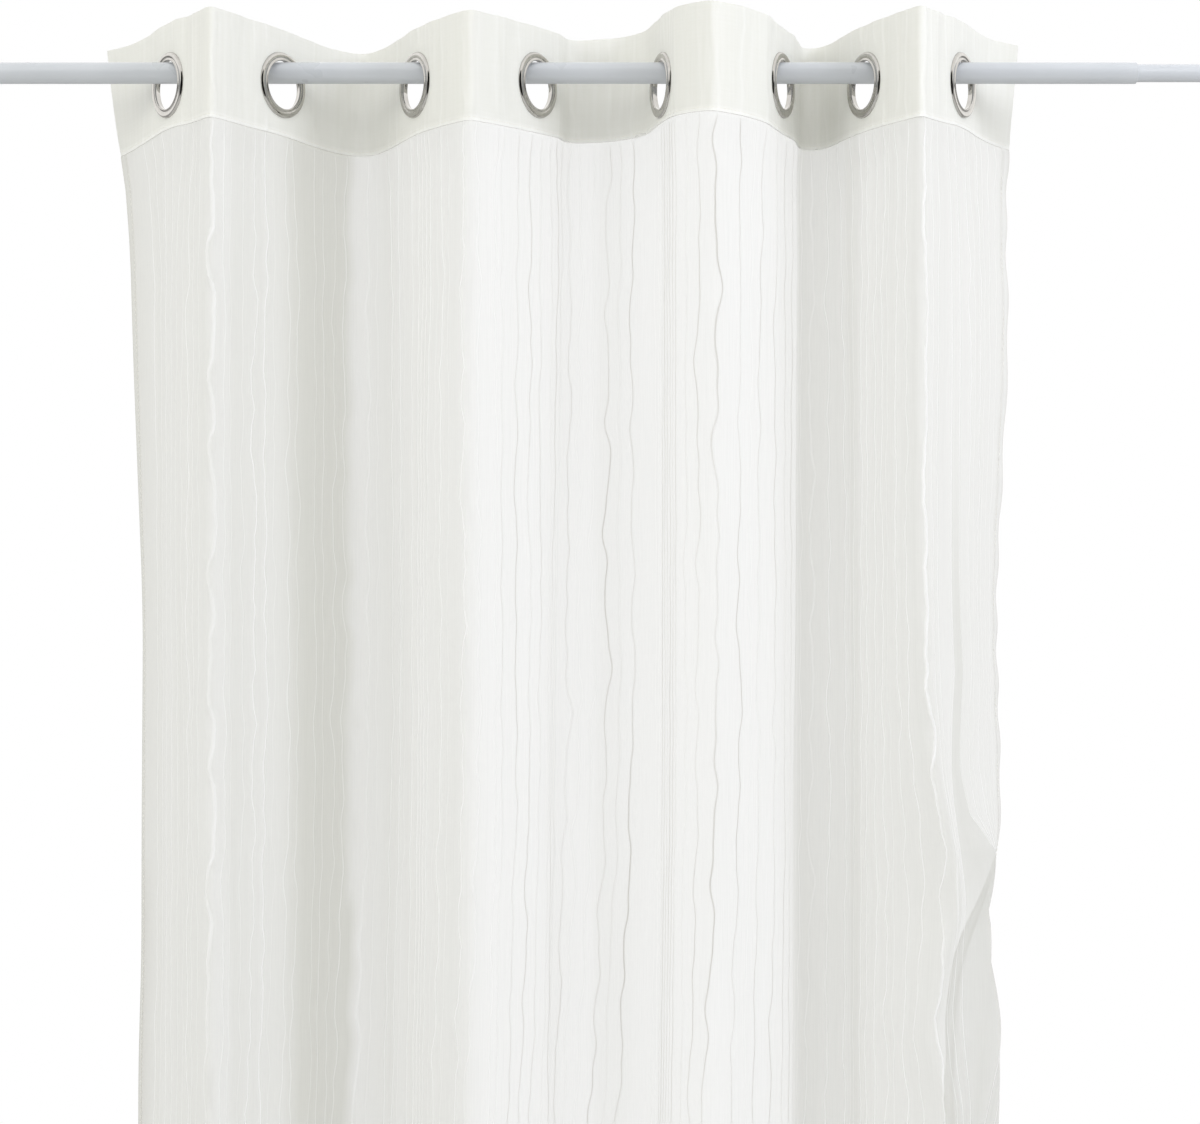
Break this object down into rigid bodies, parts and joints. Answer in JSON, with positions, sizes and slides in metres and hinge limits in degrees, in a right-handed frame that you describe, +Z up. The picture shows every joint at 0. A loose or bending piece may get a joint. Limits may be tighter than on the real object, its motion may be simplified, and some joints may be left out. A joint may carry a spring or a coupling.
{
  "type": "eyelet curtain on a telescopic curtain rod",
  "caption": "Sheer crinkled curtain hanging in deep folds by metal eyelets from a thin telescopic rod.",
  "frame": {"origin": "on the rod's axis, at the middle of the rod's whole length", "axes": "+X along the rod to the right seen from the room, +Y away from the room towards the wall, +Z up"},
  "size_m": [1.2, 0.1605, 2.4185],
  "materials": {
    "voile": "sheer crinkled ivory voile",
    "heading_band": "doubled stiffened ivory voile",
    "nickel": "polished nickel plate",
    "rod_enamel": "smooth white enamel",
    "cap_plastic": "satin white plastic"
  },
  "bodies": {
    "curtain": {"panel": "voile", "heading": "heading_band", "eyelet_1": "nickel", "eyelet_2": "nickel", "eyelet_3": "nickel", "eyelet_4": "nickel", "eyelet_5": "nickel", "eyelet_6": "nickel", "eyelet_7": "nickel", "eyelet_8": "nickel", "rod_outer": "rod_enamel", "rod_cap_left": "cap_plastic"},
    "inner_tube": {"rod_inner": "rod_enamel", "rod_cap_right": "cap_plastic"}
  },
  "joints": [
    {"name": "rod_extend", "type": "slide", "parent": "curtain", "child": "inner_tube", "axis": [1, 0, 0], "range_m": [-0.136, 0.7]}
  ]
}
